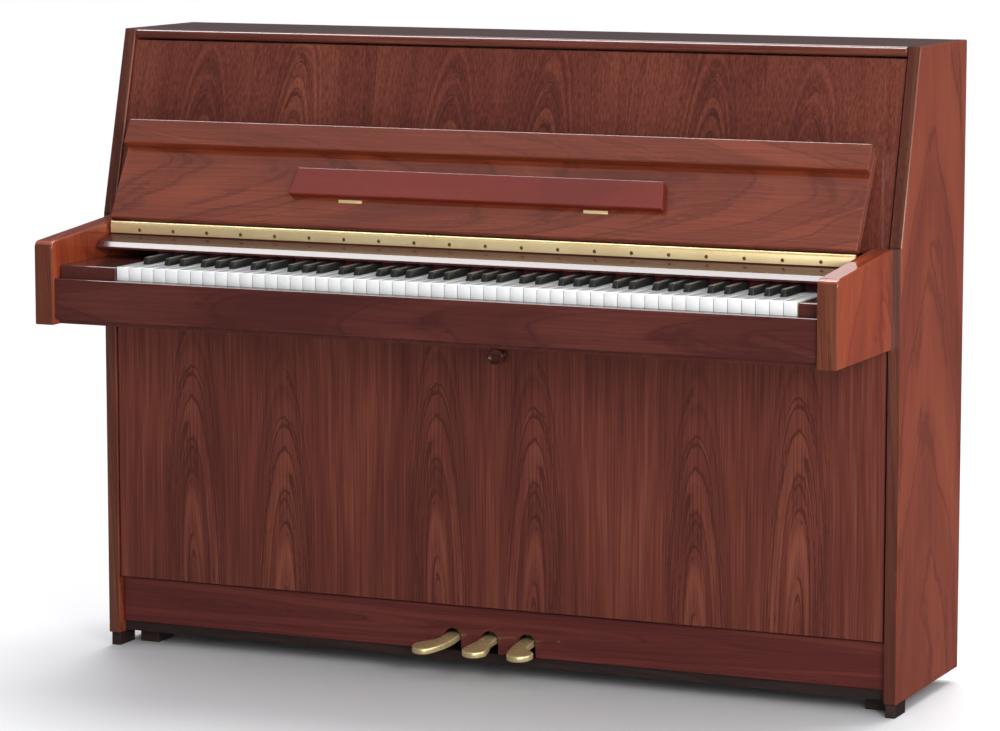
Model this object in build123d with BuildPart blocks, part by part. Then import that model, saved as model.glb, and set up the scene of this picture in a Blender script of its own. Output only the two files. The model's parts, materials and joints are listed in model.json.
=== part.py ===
from build123d import *
import os
from math import atan, cos, degrees, radians, sin

os.makedirs("parts", exist_ok=True)

# An upright piano of console size, in millimetres. X runs along the keyboard with the bass
# at -X, the player sits at -Y, Z is up, and the origin is the middle of the floor area.

# Whole instrument
WIDTH = 1480.0
DEPTH = 600.0
HEIGHT = 1100.0
HALF = WIDTH / 2
FRONT = -DEPTH / 2
BACK = DEPTH / 2
EDGE = 2.5  # the polish softens every outside edge to this radius
GAP = 0.3  # working clearance where a board fits between two others

# Case sides: upright to the shoulder, then sloping back to the lid
SIDE_T = 22.0
CASE_FRONT = -33.0
SHOULDER = 778.0
TOP_FRONT = 53.0
FOOT_H = 24.0
INSIDE = HALF - SIDE_T
SLOPE = (TOP_FRONT - CASE_FRONT) / (HEIGHT - SHOULDER)

# Arms either side of the keyboard
ARM_IN = 689.0
ARM_T = 35.0
ARM_BOTTOM = 611.0
ARM_TOP_FRONT = 754.0
ARM_TOP_BACK = 777.0
ARM_NOSE = 12.0

# Keyboard: 52 white keys at an octave span of 165 mm
WHITE_PITCH = 165.0 / 7
WHITE_COUNT = 52
KEY_CENTRE = 35.5  # the bass key block is the wider one
KEY_FRONT = -275.0
KEY_TOP = 714.0
KEY_DEEP = 23.0
KEY_GAP = 1.0
HEAD_LONG = 50.0
COVER_LONG = 150.0
COVER_T = 3.0
KEY_TAIL = 115.0
BALANCE_Y = -20.0
SHARP_W = 11.0
SHARP_TOP_W = 9.0
SHARP_H = 12.0
SHARP_LONG = 94.0
FIRST_X = KEY_CENTRE - WHITE_COUNT * WHITE_PITCH / 2
SHARP_SHIFT = {0: 3.6, 2: -2.6, 3: 2.6, 5: -3.6, 6: 0.0}  # after A, C, D, F and G
OCTAVE = 23  # white key number of middle C, counting the lowest A as 0
NOTES = "abcdefg"

# Keybed and the boards round the keys
BED_BOTTOM = 612.0
BED_TOP = 660.0
SLIP_FRONT = -293.0
SLIP_BACK = -277.0
SLIP_BOTTOM = 620.5
SLIP_TOP = 691.0
BLOCK_TOP = 713.0

# Name rail behind the keys, with the fallboard's hinge on its upright face
RAIL_BOTTOM = 729.0
RAIL_NOSE = -152.0
RAIL_TOP = 766.0
RAIL_FACE = -103.0
RAIL_BACK = -34.0
HINGE_Y = -101.0
HINGE_Z = 770.0
KNUCKLE_R = 3.0
BRASS_T = 1.6
SCREW_PITCH = 66.0
SCREW_COUNT = 20

# Fallboard, standing open: distances along it and off its face are from the hinge line
LEAN = 30.0
LEAF_HALF = 687.0
LEAF_START = 6.0
LEAF_END = 180.5
LEAF_OUT = -8.25
LEAF_IN = 7.75
FLAP_START = 142.0
FLAP_END = 189.0
FLAP_T = 18.0
LEDGE_START = 60.0
LEDGE_END = 110.0
LEDGE_T = 13.0
LEDGE_HALF = 345.0
LEDGE_TAPER = 8.0

# Upper panel, lid and the strip behind it
PANEL_T = 18.0
LID_T = 17.0
LID_FRONT = 49.0
LID_BACK = 258.0
LID_HINGE_Y = 263.0
LID_HINGE_Z = 1097.3
LID_KNUCKLE_R = 2.4

# Lower panel, toe rail and bottom board
LOWER_FRONT = -32.0
LOWER_BOTTOM = 127.0
LOWER_TOP = 609.0
LOWER_HALF = 715.0
KNOB_X = 26.0
KNOB_Z = 565.0
KNOB_R = 15.0
KNOB_LONG = 19.0
TOE_FRONT = -17.0
TOE_BOTTOM = 43.0
TOE_TOP = 124.0
NOTCH_R = 16.0

# Pedals
PEDAL_PITCH = 70.0
PEDAL_BOTTOM = 61.0
PEDAL_T = 12.0
PEDAL_NECK = 26.0
PEDAL_PIVOT = 90.0
PEDAL_TAIL = 132.0
DIP_START = -14.0  # in front of this the blade slopes down
DIP_END = -104.0
PEDAL_DIP = 12.5
THINNING = 1.5
TIP_ROUND = 0.8  # how far the tip stands out, as a share of the half width
# Each blade: the middle of its widest part, the way it points, half its width, and where its
# left and right edges leave the neck
BLADES = {
    -1: ((-96.0, -84.0), -34.0, 21.0, (-24.0, -24.0)),
    0: ((0.0, -80.0), 0.0, 22.0, (-30.0, -30.0)),
    1: ((85.0, -79.0), 20.0, 23.0, (-24.0, -44.0)),
}

# Back frame, soundboard, iron plate and strings
BEAM_FRONT = 206.0
TOP_BEAM = 950.0
LOW_BEAM = 150.0
BEAM_TOP = 1080.0
POST_FRONT = 243.0
POST_W = 72.0
POST_COUNT = 5
BOARD_T = 9.0
BOARD_BACK = 231.0
PLATE_T = 10.0
STRING_Y = 178.0


def front_plane(y):
    """A plane facing the player, at a distance y along the depth: local X is X, local Y is Z."""
    return Plane.XZ.offset(-y)


def leaf_plane(x):
    """The fallboard's own plane: local X runs up along the open leaf, local Y off its face."""
    lean = radians(LEAN)
    return Plane(origin=(x, HINGE_Y, HINGE_Z), x_dir=(0, sin(lean), cos(lean)), z_dir=(1, 0, 0))


def block(x, y, z, mode=Mode.ADD):
    """A box between two values along each axis, in the part being built."""
    with Locations((sum(x) / 2, sum(y) / 2, sum(z) / 2)):
        Box(abs(x[1] - x[0]), abs(y[1] - y[0]), abs(z[1] - z[0]), mode=mode)


def rod(radius, length, middle, turn=(0, 90, 0)):
    """A round bar about its middle, lying along X unless it is turned otherwise."""
    with Locations(Location(middle, turn)):
        Cylinder(radius, length)


def save(piece, name):
    """Label a finished piece and write it."""
    piece.part.label = name
    export_step(piece.part, f"parts/{name}.step")


def face_slope(z):
    """Depth of the sloping front edge of the case sides at a height."""
    return CASE_FRONT + (z - SHOULDER) * SLOPE


# ---- case ----


def make_side_panel(side):
    with BuildPart() as panel:
        with BuildSketch(Plane.YZ.offset(INSIDE if side > 0 else -HALF)):
            with BuildLine():
                Polyline(
                    (CASE_FRONT, FOOT_H),
                    (BACK, FOOT_H),
                    (BACK, HEIGHT),
                    (TOP_FRONT, HEIGHT),
                    (CASE_FRONT, SHOULDER),
                    close=True,
                )
            make_face()
        extrude(amount=SIDE_T)
        long_edges = panel.edges().filter_by(Plane.YZ)
        shown = long_edges.filter_by(lambda e: e.center().Y < BACK - 1 and e.center().Z > FOOT_H + 1)
        fillet(shown, EDGE)
    return panel


def make_arm(side):
    with BuildPart() as arm:
        with BuildSketch(Plane.YZ.offset(ARM_IN if side > 0 else -ARM_IN - ARM_T)):
            with BuildLine():
                Polyline(
                    (FRONT, ARM_BOTTOM),
                    (CASE_FRONT, ARM_BOTTOM),
                    (CASE_FRONT, ARM_TOP_BACK),
                    (FRONT, ARM_TOP_FRONT),
                    close=True,
                )
            make_face()
            corners = vertices().group_by(Axis.X)[0]
            fillet(corners.sort_by(Axis.Y)[-1], ARM_NOSE)
            fillet(vertices().group_by(Axis.X)[0].sort_by(Axis.Y)[0], EDGE)
        extrude(amount=ARM_T)
        shown = arm.edges().filter_by(Plane.YZ).filter_by(lambda e: e.center().Y < CASE_FRONT - 1)
        fillet(shown, EDGE)
        inner = (ARM_IN, INSIDE - GAP)
        block([side * x for x in inner], (CASE_FRONT, 60), (ARM_BOTTOM, 760))
    return arm


def make_keybed():
    with BuildPart() as keybed:
        block((-ARM_IN, ARM_IN), (SLIP_BACK, 70), (BED_BOTTOM, BED_TOP))
    return keybed


def make_key_slip():
    with BuildPart() as slip:
        block((-ARM_IN + GAP, ARM_IN - GAP), (SLIP_FRONT, SLIP_BACK), (SLIP_BOTTOM, SLIP_TOP))
        front = slip.faces().sort_by(Axis.Y)[0]
        fillet(front.edges().filter_by(Axis.X), 3.0)
    return slip


def make_key_block(side):
    """The polished wood that fills the space between the keys and an arm."""
    keys_end = FIRST_X if side < 0 else FIRST_X + WHITE_COUNT * WHITE_PITCH
    ends = (keys_end + side * 1.5, side * (ARM_IN - GAP))
    with BuildPart() as key_block:
        block(ends, (KEY_FRONT, -110), (BED_TOP, BLOCK_TOP))
        top = key_block.faces().sort_by(Axis.Z)[-1]
        fillet(top.edges().group_by(Axis.Y)[0], 4.0)
        shoulder = key_block.edges().filter_by(Axis.Y).group_by(Axis.Z)[-1]
        fillet(shoulder, 3.0)
    return key_block


def make_name_rail():
    """The board behind the keys: a bevelled nose, a sloping top and an upright hinge face."""
    with BuildPart() as rail:
        with BuildSketch(Plane.YZ.offset(-LEAF_HALF + 1)):
            with BuildLine():
                Polyline(
                    (RAIL_BACK, RAIL_BOTTOM),
                    (RAIL_NOSE, RAIL_BOTTOM),
                    (RAIL_NOSE, RAIL_BOTTOM + 3.5),
                    (RAIL_NOSE + 9, RAIL_BOTTOM + 12),
                    (RAIL_FACE, RAIL_BOTTOM + 22),
                    (RAIL_FACE, RAIL_TOP),
                    (RAIL_BACK, RAIL_TOP),
                    close=True,
                )
            make_face()
        extrude(amount=2 * (LEAF_HALF - 1))
        nose = rail.edges().filter_by(Axis.X).filter_by(lambda e: e.center().Y < RAIL_NOSE + 10)
        fillet(nose, 1.5)
    return rail


def make_name_rail_felt():
    keys_long = WHITE_COUNT * WHITE_PITCH
    with BuildPart() as felt:
        block((FIRST_X, FIRST_X + keys_long), (-128.5, -124.5), (KEY_TOP + 1.3, RAIL_BOTTOM))
    return felt


def make_upper_panel():
    low, high = RAIL_TOP + 2, HEIGHT - LID_T - 3
    recess = 3.0
    deep = PANEL_T / cos(radians(15))
    with BuildPart() as panel:
        with BuildSketch(Plane.YZ.offset(-INSIDE + 2)):
            with BuildLine():
                Polyline(
                    (face_slope(low) + recess, low),
                    (face_slope(low) + recess + deep, low),
                    (face_slope(high) + recess + deep, high),
                    (face_slope(high) + recess, high),
                    close=True,
                )
            make_face()
        extrude(amount=2 * (INSIDE - 2))
        fillet(panel.faces().sort_by(Axis.Y)[0].edges(), 1.5)
    return panel


def make_lid_rear_rail():
    with BuildPart() as rail:
        block((-INSIDE + GAP, INSIDE - GAP), (266, BACK), (BEAM_TOP, HEIGHT))
        fillet(rail.edges().filter_by(Axis.X).group_by(Axis.Z)[-1].sort_by(Axis.Y)[-1], EDGE)
    return rail


def make_toe_rail():
    with BuildPart() as rail:
        with BuildSketch(front_plane(TOE_FRONT + 20)):
            with Locations((0, (TOE_BOTTOM + TOE_TOP) / 2)):
                Rectangle(2 * (INSIDE - GAP), TOE_TOP - TOE_BOTTOM)
            notch_low = TOE_BOTTOM - 1
            notch_mid = 67.0
            with Locations(*[(n * PEDAL_PITCH, 0) for n in (-1, 0, 1)]):
                with Locations((0, (notch_low + notch_mid) / 2)):
                    Rectangle(2 * NOTCH_R, notch_mid - notch_low, mode=Mode.SUBTRACT)
                with Locations((0, notch_mid)):
                    Circle(NOTCH_R, mode=Mode.SUBTRACT)
        extrude(amount=20)
        front = rail.faces().sort_by(Axis.Y)[0]
        fillet(front.edges(), EDGE)
    return rail


def make_bottom_board():
    with BuildPart() as board:
        block((-INSIDE + GAP, INSIDE - GAP), (-12, 205), (FOOT_H + 2, TOE_BOTTOM - 0.2))
    return board


def make_corner_feet():
    """Dark blocks under the case sides in front, and inboard blocks at all four corners."""
    with BuildPart() as feet:
        for side in (-1, 1):
            block((side * (HALF - 20), side * (HALF - 3)), (-28, 27), (0, FOOT_H))
            block((side * 669, side * 706), (22, 78), (0, FOOT_H + 2))
            block((side * 655, side * 700), (225, 290), (0, FOOT_H + 2))
        fillet(feet.edges().filter_by(Axis.Z), 1.2)
    return feet


def make_fallboard_hinge():
    """The long brass hinge: its fixed leaf on the name rail and the knuckle on top."""
    with BuildPart() as hinge:
        half = LEAF_HALF - 2
        block((-half, half), (RAIL_FACE - BRASS_T, RAIL_FACE), (RAIL_BOTTOM + 23.5, HINGE_Z - 1.5))
        rod(KNUCKLE_R, 2 * half, (0, HINGE_Y, HINGE_Z))
    return hinge


def make_hinge_screws():
    face = RAIL_FACE - BRASS_T
    with BuildPart() as screws:
        with BuildSketch(front_plane(face)):
            with Locations((0, RAIL_BOTTOM + 30)):
                with GridLocations(SCREW_PITCH, 1, SCREW_COUNT, 1):
                    Circle(3.2)
        extrude(amount=0.7)
    return screws


def make_lid_hinge():
    half = INSIDE - 6
    with BuildPart() as hinge:
        block((-half, half), (266 - BRASS_T, 266), (HEIGHT - LID_T + 1, LID_HINGE_Z))
        rod(LID_KNUCKLE_R, 2 * half, (0, LID_HINGE_Y, LID_HINGE_Z))
    return hinge


# ---- moving covers ----


def make_top_lid():
    with BuildPart() as lid:
        half = INSIDE - 1.5
        block((-half, half), (LID_FRONT, LID_BACK), (HEIGHT - LID_T, HEIGHT))
        nose = lid.faces().sort_by(Axis.Y)[0].edges().filter_by(Axis.X)
        fillet(nose, LID_T / 2 - 0.6)
        ends = lid.edges().filter_by(Axis.Y).group_by(Axis.Z)[-1]
        fillet(ends, 1.5)
    return lid


def make_fallboard():
    with BuildPart() as leaf:
        with BuildSketch(leaf_plane(-LEAF_HALF)):
            with Locations(((LEAF_START + LEAF_END) / 2, (LEAF_OUT + LEAF_IN) / 2)):
                Rectangle(LEAF_END - LEAF_START, LEAF_IN - LEAF_OUT)
        extrude(amount=2 * LEAF_HALF)
        fillet(leaf.edges(), EDGE)
    return leaf


def make_fallboard_flap():
    """The front strip of the fallboard, folded back on the leaf's face."""
    with BuildPart() as flap:
        low = LEAF_IN + 1
        with BuildSketch(leaf_plane(-LEAF_HALF)):
            with Locations(((FLAP_START + FLAP_END) / 2, low + FLAP_T / 2)):
                Rectangle(FLAP_END - FLAP_START, FLAP_T)
        extrude(amount=2 * LEAF_HALF)
        fillet(flap.edges(), EDGE)
    return flap


def make_music_ledge():
    """A short board hinged to the fallboard's face, with ends that taper upwards."""
    with BuildPart() as ledge:
        middle = leaf_plane(0)
        off = LEAF_IN + 0.8
        face = Plane(
            origin=middle.from_local_coords((0, off, 0)),
            x_dir=(1, 0, 0),
            z_dir=middle.y_dir,
        )
        with BuildSketch(face):
            with BuildLine():
                Polyline(
                    (-LEDGE_HALF, LEDGE_START),
                    (LEDGE_HALF, LEDGE_START),
                    (LEDGE_HALF - LEDGE_TAPER, LEDGE_END),
                    (LEDGE_TAPER - LEDGE_HALF, LEDGE_END),
                    close=True,
                )
            make_face()
        extrude(amount=LEDGE_T)
        fillet(ledge.edges(), 1.8)
    return ledge


def make_ledge_hinges():
    """Two brass butt hinges below the ledge, let into the fallboard's face."""
    with BuildPart() as hinges:
        for middle in (-230.0, 223.0):
            with BuildSketch(leaf_plane(middle - 22)):
                with Locations((LEDGE_START - 4.6, LEAF_IN + 1.9)):
                    Circle(1.8)
                with Locations((LEDGE_START - 6.2, LEAF_IN + 0.5)):
                    Rectangle(4, 1)
            extrude(amount=44)
    return hinges


def make_lower_panel():
    with BuildPart() as panel:
        block((-LOWER_HALF, LOWER_HALF), (LOWER_FRONT, LOWER_FRONT + PANEL_T), (LOWER_BOTTOM, LOWER_TOP))
        fillet(panel.faces().sort_by(Axis.Y)[0].edges(), 2.0)
    return panel


def make_panel_knob():
    with BuildPart() as knob:
        with BuildSketch(front_plane(LOWER_FRONT)):
            with Locations((KNOB_X, KNOB_Z)):
                Circle(KNOB_R - 2.5)
        extrude(amount=6)
        with BuildSketch(front_plane(LOWER_FRONT - 5)):
            with Locations((KNOB_X, KNOB_Z)):
                Circle(KNOB_R)
        extrude(amount=KNOB_LONG - 5)
        fillet(knob.faces().sort_by(Axis.Y)[0].edges(), 4.0)
    return knob


# ---- keyboard ----


def sharp_centre(number):
    """Middle of the black key to the right of a white key, or None where there isn't one."""
    if number % 7 not in SHARP_SHIFT or not 0 <= number < WHITE_COUNT - 1:
        return None
    return FIRST_X + (number + 1) * WHITE_PITCH + SHARP_SHIFT[number % 7]


def add_white_key(number):
    """One white key: a broad head, and a narrower tail between its black neighbours."""
    left = FIRST_X + number * WHITE_PITCH + KEY_GAP / 2
    right = left + WHITE_PITCH - KEY_GAP
    room = SHARP_W / 2 + KEY_GAP
    before, after = sharp_centre(number - 1), sharp_centre(number)
    tail_left = left if before is None else before + room
    tail_right = right if after is None else after - room
    head_end = KEY_FRONT + HEAD_LONG
    bottom = KEY_TOP - KEY_DEEP
    block((left, right), (KEY_FRONT, head_end), (bottom, KEY_TOP))
    block((tail_left, tail_right), (head_end, KEY_FRONT + COVER_LONG), (bottom, KEY_TOP))
    stick = (KEY_FRONT + COVER_LONG, KEY_TAIL)
    block((tail_left, tail_right), stick, (bottom, KEY_TOP - COVER_T))


def add_black_key(number):
    """One black key: a plain stick with a raised cap that slopes at its front."""
    middle = sharp_centre(number)
    front = KEY_FRONT + HEAD_LONG + 1.5
    half = SHARP_W / 2
    wood_top = KEY_TOP - COVER_T
    block((middle - half, middle + half), (front, KEY_TAIL), (KEY_TOP - KEY_DEEP, wood_top))
    with BuildSketch(Plane.XY.offset(wood_top)) as foot:
        with Locations((middle, front + SHARP_LONG / 2)):
            Rectangle(SHARP_W, SHARP_LONG)
    with BuildSketch(Plane.XY.offset(KEY_TOP + SHARP_H)) as crown:
        with Locations((middle, front + SHARP_LONG / 2 + 2.2)):
            Rectangle(SHARP_TOP_W, SHARP_LONG - 5)
    loft(sections=[foot.sketch.face(), crown.sketch.face()])


def make_white_key(number):
    with BuildPart() as key:
        add_white_key(number)
        fillet(key.faces().sort_by(Axis.Y)[0].edges().sort_by(Axis.Z)[-1], 1.2)
    return key


def make_black_key(number):
    with BuildPart() as key:
        add_black_key(number)
    return key


def outside_octave():
    """Numbers of the white keys that the two grouped nodes stand for."""
    return [n for n in range(WHITE_COUNT) if not OCTAVE <= n < OCTAVE + 7]


def make_white_keys():
    """All the white keys outside the middle octave, each a solid of its own."""
    singles = [make_white_key(number).part for number in outside_octave()]
    with BuildPart() as keys:
        add(singles)
    return keys


def make_black_keys():
    """All the black keys outside the middle octave, each a solid of its own."""
    singles = [make_black_key(number).part for number in outside_octave() if sharp_centre(number)]
    with BuildPart() as keys:
        add(singles)
    return keys


def make_key_frame():
    """Three rails on the keybed: the front rail, the balance rail and the back rail."""
    ends = (FIRST_X, FIRST_X + WHITE_COUNT * WHITE_PITCH)
    under = KEY_TOP - KEY_DEEP
    with BuildPart() as frame:
        block(ends, (-268, -232), (BED_TOP, under - 13))
        block(ends, (BALANCE_Y - 18, BALANCE_Y + 18), (BED_TOP, under - 1.2))
        block(ends, (78, KEY_TAIL), (BED_TOP, under - GAP))
    return frame


# ---- pedals and trapwork ----


def make_pedal(number):
    """A brass pedal: a level arm with a rounded blade that dips, the outer two turned outwards."""
    x = number * PEDAL_PITCH
    neck = PEDAL_NECK / 2
    (wide_x, wide_y), turn, wide, (left_y, right_y) = BLADES[number]
    ahead = Vector(sin(radians(turn)), -cos(radians(turn)))
    across = Vector(ahead.Y, -ahead.X)
    middle = Vector(wide_x, wide_y)
    left, right = middle + across * wide, middle - across * wide
    tip = middle + ahead * (TIP_ROUND * wide)
    with BuildPart() as pedal:
        with BuildSketch(Plane.XY.offset(PEDAL_BOTTOM - PEDAL_DIP - 1)):
            with BuildLine():
                Line((x - neck, PEDAL_TAIL), (x - neck, left_y))
                Spline((x - neck, left_y), left, tangents=((0, -1), ahead))
                ThreePointArc(left, tip, right)
                Spline(right, (x + neck, right_y), tangents=(-ahead, (0, 1)))
                Line((x + neck, right_y), (x + neck, PEDAL_TAIL))
                Line((x + neck, PEDAL_TAIL), (x - neck, PEDAL_TAIL))
            make_face()
        extrude(amount=PEDAL_T + PEDAL_DIP + 2)
        with BuildSketch(Plane.YZ.offset(x - 60)):
            with BuildLine():
                Polyline(
                    (PEDAL_TAIL + 1, PEDAL_BOTTOM),
                    (DIP_START, PEDAL_BOTTOM),
                    (DIP_END, PEDAL_BOTTOM - PEDAL_DIP + THINNING),
                    (DIP_END, PEDAL_BOTTOM + PEDAL_T - PEDAL_DIP),
                    (DIP_START, PEDAL_BOTTOM + PEDAL_T),
                    (PEDAL_TAIL + 1, PEDAL_BOTTOM + PEDAL_T),
                    close=True,
                )
            make_face()
        extrude(amount=120, mode=Mode.INTERSECT)
        pin = (x, PEDAL_PIVOT, PEDAL_BOTTOM + PEDAL_T / 2)
        with Locations(Location(pin, (0, 90, 0))):
            Cylinder(4.4, 2 * PEDAL_PITCH, mode=Mode.SUBTRACT)
    return pedal


def make_pedal_bracket():
    """Upright plates on the bottom board with one steel pin through all three pedals."""
    wall = 6.0
    top = PEDAL_BOTTOM + PEDAL_T + 4
    with BuildPart() as bracket:
        for n in range(-2, 2):
            middle = (n + 0.5) * PEDAL_PITCH
            block((middle - wall, middle + wall), (PEDAL_PIVOT - 14, PEDAL_PIVOT + 14), (TOE_BOTTOM, top))
        rod(4.0, 3 * PEDAL_PITCH + 2 * wall, (0, PEDAL_PIVOT, PEDAL_BOTTOM + PEDAL_T / 2))
    return bracket


TRAP_Y = {-1: 122.0, 0: 160.0, 1: 122.0}
TRAP_SIDE = {-1: -1, 0: -1, 1: 1}
TRAP_PIVOT = 260.0
TRAP_END = 470.0
TRAP_Z = 96.0


def make_trap_lever(number):
    """A wooden lever that carries one pedal's motion along the case floor."""
    side = TRAP_SIDE[number]
    near = number * PEDAL_PITCH - side * 14
    y = TRAP_Y[number]
    with BuildPart() as lever:
        block((near, side * TRAP_END), (y - 11, y + 11), (TRAP_Z - 14, TRAP_Z + 14))
        fillet(lever.edges().filter_by(Axis.Y), 6.0)
        pin = Location((side * TRAP_PIVOT, y, TRAP_Z), (90, 0, 0))
        with Locations(pin):
            Cylinder(4.4, 40, mode=Mode.SUBTRACT)
        if number == 0:
            block((-11, 11), (PEDAL_TAIL - 16, y), (TRAP_Z - 14, TRAP_Z))
    return lever


def make_trap_blocks():
    """Pivot posts for the trap levers, each with its pin."""
    with BuildPart() as blocks:
        for side, middle in ((-1, (TRAP_Y[-1] + TRAP_Y[0]) / 2), (1, TRAP_Y[1] + 19)):
            x = side * TRAP_PIVOT
            block((x - 16, x + 16), (middle - 6, middle + 6), (TOE_BOTTOM, TRAP_Z + 16))
            low = TRAP_Y[side] - 12
            high = TRAP_Y[0] + 12 if side < 0 else middle
            rod(4.0, high - low, (x, (low + high) / 2, TRAP_Z), (90, 0, 0))
    return blocks


# ---- strung back ----


def make_back_frame():
    """Five posts between a heavy top beam, which holds the tuning pins, and a bottom beam."""
    half = INSIDE - GAP
    pitch = (2 * half - POST_W) / (POST_COUNT - 1)
    with BuildPart() as frame:
        block((-half, half), (BEAM_FRONT, BACK - 2), (TOP_BEAM, BEAM_TOP))
        block((-half, half), (BEAM_FRONT, BACK - 2), (FOOT_H + 2, LOW_BEAM))
        with Locations((0, (POST_FRONT + BACK - 2) / 2, (TOP_BEAM + LOW_BEAM) / 2)):
            with GridLocations(pitch, 1, POST_COUNT, 1):
                Box(POST_W, BACK - 2 - POST_FRONT, TOP_BEAM - LOW_BEAM - 2 * GAP)
    return frame


def make_soundboard():
    with BuildPart() as board:
        block((-700, 700), (BOARD_BACK - BOARD_T, BOARD_BACK), (LOW_BEAM + 1, TOP_BEAM - 1))
    return board


def make_soundboard_ribs():
    """Slanting spruce ribs on the back of the soundboard."""
    with BuildPart() as ribs:
        with BuildSketch(front_plane(POST_FRONT - 0.5)):
            with Locations((0, (LOW_BEAM + TOP_BEAM) / 2)):
                with GridLocations(150, 1, 9, 1):
                    Rectangle(20, 1100, rotation=-38)
                Rectangle(1380, TOP_BEAM - LOW_BEAM - 20, mode=Mode.INTERSECT)
        extrude(amount=POST_FRONT - 0.5 - BOARD_BACK)
    return ribs


def make_bridges():
    """The long curved treble bridge and the short bass bridge."""
    bridge_w = 26.0
    with BuildPart() as bridges:
        with BuildSketch(front_plane(BOARD_BACK - BOARD_T)):
            with BuildLine():
                Spline((-560, 235), (-180, 330), (220, 560), (600, 790))
            trace(line_width=bridge_w)
            with BuildLine():
                Line((-150, 205), (180, 320))
            trace(line_width=bridge_w)
        extrude(amount=10)
    return bridges


def make_iron_plate():
    """The cast frame: a solid pin field over tall windows, with a strut between each two."""
    half = INSIDE - 14
    windows = 9
    pitch = 2 * (half - 30) / windows
    with BuildPart() as plate:
        block((-half, half), (BEAM_FRONT - PLATE_T, BEAM_FRONT), (LOW_BEAM - 30, BEAM_TOP - 12))
        with Locations((0, BEAM_FRONT - PLATE_T / 2, (LOW_BEAM + TOP_BEAM) / 2 + 10)):
            with GridLocations(pitch, 1, windows, 1):
                Box(pitch - 24, 3 * PLATE_T, TOP_BEAM - LOW_BEAM - 80, mode=Mode.SUBTRACT)
    return plate


PIN_ROWS = 4
PINS_LONG = 42
PIN_PITCH = 1290.0 / PINS_LONG


def make_tuning_pins():
    with BuildPart() as pins:
        with BuildSketch(front_plane(BEAM_FRONT - PLATE_T)):
            for row in range(PIN_ROWS):
                with Locations((row * PIN_PITCH / PIN_ROWS, 985 + row * 20)):
                    with GridLocations(PIN_PITCH, 1, PINS_LONG, 1):
                        Circle(3.4)
        extrude(amount=30)
    return pins


def slope_angle(slope):
    """Degrees that a string leans from upright for a given sideways run over its height."""
    return degrees(atan(slope))


STRING_TOP = 980.0


def make_treble_strings():
    """Plain steel wires, shorter towards the treble as the bridge rises."""
    count = 66
    longest = 805.0
    places = []
    for n in range(count):
        top = -230 + n * 13.2
        tall = longest * (1 - 0.42 * n / count)
        lean = (90 - 0.9 * n) / longest
        middle = (top - lean * tall / 2, STRING_Y + 5, STRING_TOP - tall / 2)
        places.append((Location(middle, (0, slope_angle(lean), 0)), tall))
    with BuildPart() as strings:
        for place, tall in places:
            with Locations(place):
                Cylinder(0.55, tall)
    return strings


def make_bass_strings():
    """Copper-wound strings that cross in front of the treble ones."""
    count = 28
    low = 215.0
    lean = -0.42
    tall = STRING_TOP - low
    long = tall / cos(atan(lean))
    with BuildPart() as strings:
        for n in range(count):
            middle = (-640 + n * 14.0 - lean * tall / 2, STRING_Y - 4, (STRING_TOP + low) / 2)
            with Locations(Location(middle, (0, slope_angle(lean), 0))):
                Cylinder(2.3 - n * 0.045, long)
    return strings


# ---- action ----

ACTION_COUNT = 88
ACTION_PITCH = WHITE_COUNT * WHITE_PITCH / ACTION_COUNT
DAMPER_COUNT = 68
KEYS_END = FIRST_X + WHITE_COUNT * WHITE_PITCH
MAIN_RAIL_TOP = 819.0


def action_places(count):
    """Middle of each note's place along the keyboard, from the bass end."""
    return [(FIRST_X + (n + 0.5) * ACTION_PITCH, 0, 0) for n in range(count)]


def make_hammers():
    """Each hammer: an upright shank with a pear-shaped felt head aimed at its strings."""
    wide = 8.0
    with BuildPart() as hammer:
        with BuildSketch(Plane.YZ.offset(-wide / 2)):
            with BuildLine():
                Polyline((96, 915), (150, 921), (150, 933), (96, 938), close=True)
            make_face()
            with Locations((147, 927)):
                Circle(11)
            with Locations((106, (MAIN_RAIL_TOP + 916) / 2)):
                Rectangle(6, 916 - MAIN_RAIL_TOP)
        extrude(amount=wide)
    with BuildPart() as hammers:
        with Locations(*action_places(ACTION_COUNT)):
            add(hammer.part)
    return hammers


def make_dampers():
    """A felt damper block on the strings for all but the highest notes."""
    with BuildPart() as damper:
        block((-4.5, 4.5), (158, 170), (835, 872))
        block((-1.5, 1.5), (150, 158), (770, 866))
    with BuildPart() as dampers:
        with Locations(*action_places(DAMPER_COUNT)):
            add(damper.part)
    return dampers


def make_action_rails():
    """Main rail, hammer rest rail, regulating rail and the damper lift rod."""
    ends = (FIRST_X - 2, KEYS_END + 2)
    with BuildPart() as rails:
        block(ends, (100, 124), (790, MAIN_RAIL_TOP))
        block(ends, (60, 74), (900, 930))
        block(ends, (58, 76), (800, 822))
        rod(4.0, ends[1] - ends[0], (sum(ends) / 2, 136, 778))
    return rails


def make_action_brackets():
    """A cast standard at each end of the action, from the keybed up to the rest rail."""
    thick = 6.0
    with BuildPart() as brackets:
        for x in (FIRST_X - 2 - thick, KEYS_END + 2):
            block((x, x + thick), (50, 148), (BED_TOP + 120, 946))
            block((x, x + thick), (40, 66), (BED_TOP, BED_TOP + 121))
    return brackets


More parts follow.
